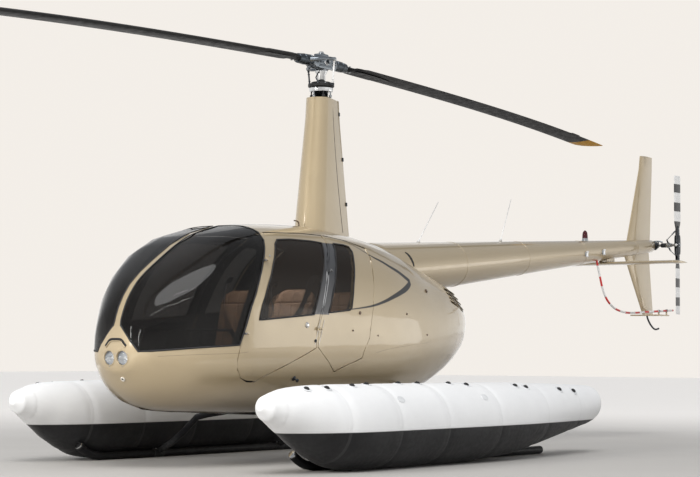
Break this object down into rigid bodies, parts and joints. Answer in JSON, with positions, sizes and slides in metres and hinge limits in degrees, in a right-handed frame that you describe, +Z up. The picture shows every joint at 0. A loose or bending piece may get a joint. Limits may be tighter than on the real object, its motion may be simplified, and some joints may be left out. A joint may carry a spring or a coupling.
{
  "type": "helicopter",
  "caption": "Light single-engine helicopter with a glazed four-seat cabin, a tall faired mast, a two-blade rotor, a slender tail boom and fixed utility floats",
  "frame": {"origin": "middle of the bounding box in X and Y, on the ground plane under the floats", "axes": "+X to the helicopter's left, -Y towards the nose, +Z up; the rotor is turned 3.4 degrees from the fore-and-aft line"},
  "size_m": [3.1132, 11.1108, 3.32],
  "materials": {
    "champagne_paint": "gloss metallic",
    "smoked_glazing": "smoked, gloss",
    "black_paint": "satin",
    "float_fabric": "coated fabric, white over black",
    "bare_steel": "satin",
    "dark_trim": "satin",
    "brown_leather": "smooth",
    "white_paint": "satin, black bands on the tail rotor",
    "red_paint": "gloss",
    "lamp_glass": "clear lens"
  },
  "bodies": {
    "airframe": {"beacon": "red_paint", "belly_tub": "champagne_paint", "cabin_floor": "dark_trim", "console": "dark_trim", "cowl_side_left": "champagne_paint", "cowl_side_right": "champagne_paint", "cowl_tail": "champagne_paint", "cowl_top": "champagne_paint", "cowl_under": "champagne_paint", "cross_tube_front": "dark_trim", "cross_tube_rear": "dark_trim", "cyclic_stick": "dark_trim", "engine_block": "dark_trim", "exhaust_pipe": "bare_steel", "fin_lower": "champagne_paint", "fin_tip_plate": "champagne_paint", "fin_upper": "champagne_paint", "firewall": "dark_trim", "float_left": "float_fabric", "float_right": "float_fabric", "landing_lamps": "lamp_glass", "mast_fairing": "champagne_paint", "nose_lamp_panel": "champagne_paint", "nose_shell": "champagne_paint", "pedals": "dark_trim", "roof_shell": "champagne_paint", "seat_front_left": "brown_leather", "seat_front_right": "brown_leather", "seat_rear_left": "brown_leather", "seat_rear_right": "brown_leather", "skid_tube_left": "dark_trim", "skid_tube_right": "dark_trim", "stabilizer": "champagne_paint", "swashplate_fixed": "bare_steel", "tail_boom": "champagne_paint", "tail_gearbox": "bare_steel", "tail_rotor_guard": "red_paint", "whip_antenna_front": "white_paint", "whip_antenna_rear": "white_paint", "windscreen_bow": "dark_trim", "windscreen_centre_post": "champagne_paint", "windscreen_left": "smoked_glazing", "windscreen_right": "smoked_glazing"},
    "main_rotor": {"rotor_mast": "bare_steel", "rotor_hub": "bare_steel", "rotor_blade_aft": "black_paint", "rotor_blade_forward": "black_paint", "swashplate_turning": "black_paint"},
    "tail_rotor": {"tail_rotor_hub": "bare_steel", "tail_rotor_blade_upper": "white_paint", "tail_rotor_blade_lower": "white_paint"},
    "door_front_left": {"door_front_left": "champagne_paint", "window_front_left": "smoked_glazing"},
    "door_front_right": {"door_front_right": "champagne_paint", "window_front_right": "smoked_glazing"},
    "door_rear_left": {"door_rear_left": "champagne_paint", "window_rear_left": "smoked_glazing"},
    "door_rear_right": {"door_rear_right": "champagne_paint", "window_rear_right": "smoked_glazing"}
  },
  "joints": [
    {"name": "main_rotor_spin", "type": "hinge", "parent": "airframe", "child": "main_rotor", "pos_m": [0, -0.52511, 3.235], "axis": [0, 0, 1], "continuous": true},
    {"name": "tail_rotor_spin", "type": "hinge", "parent": "airframe", "child": "tail_rotor", "pos_m": [0.3, 5.36789, 2.015], "axis": [1, 0, 0], "continuous": true},
    {"name": "door_front_left_swing", "type": "hinge", "parent": "airframe", "child": "door_front_left", "pos_m": [0.64865, -2.26191, 0.985], "axis": [0.0677, -0.4445, -0.8932], "range_deg": [0, 75]},
    {"name": "door_rear_left_swing", "type": "hinge", "parent": "airframe", "child": "door_rear_left", "pos_m": [0.66253, -1.39777, 1.03], "axis": [0.1141, -0.404, -0.9076], "range_deg": [0, 75]},
    {"name": "door_front_right_swing", "type": "hinge", "parent": "airframe", "child": "door_front_right", "pos_m": [-0.64865, -2.26191, 0.985], "axis": [0.0677, 0.4445, 0.8932], "range_deg": [0, 75]},
    {"name": "door_rear_right_swing", "type": "hinge", "parent": "airframe", "child": "door_rear_right", "pos_m": [-0.66253, -1.39777, 1.03], "axis": [0.1141, 0.404, 0.9076], "range_deg": [0, 75]}
  ]
}
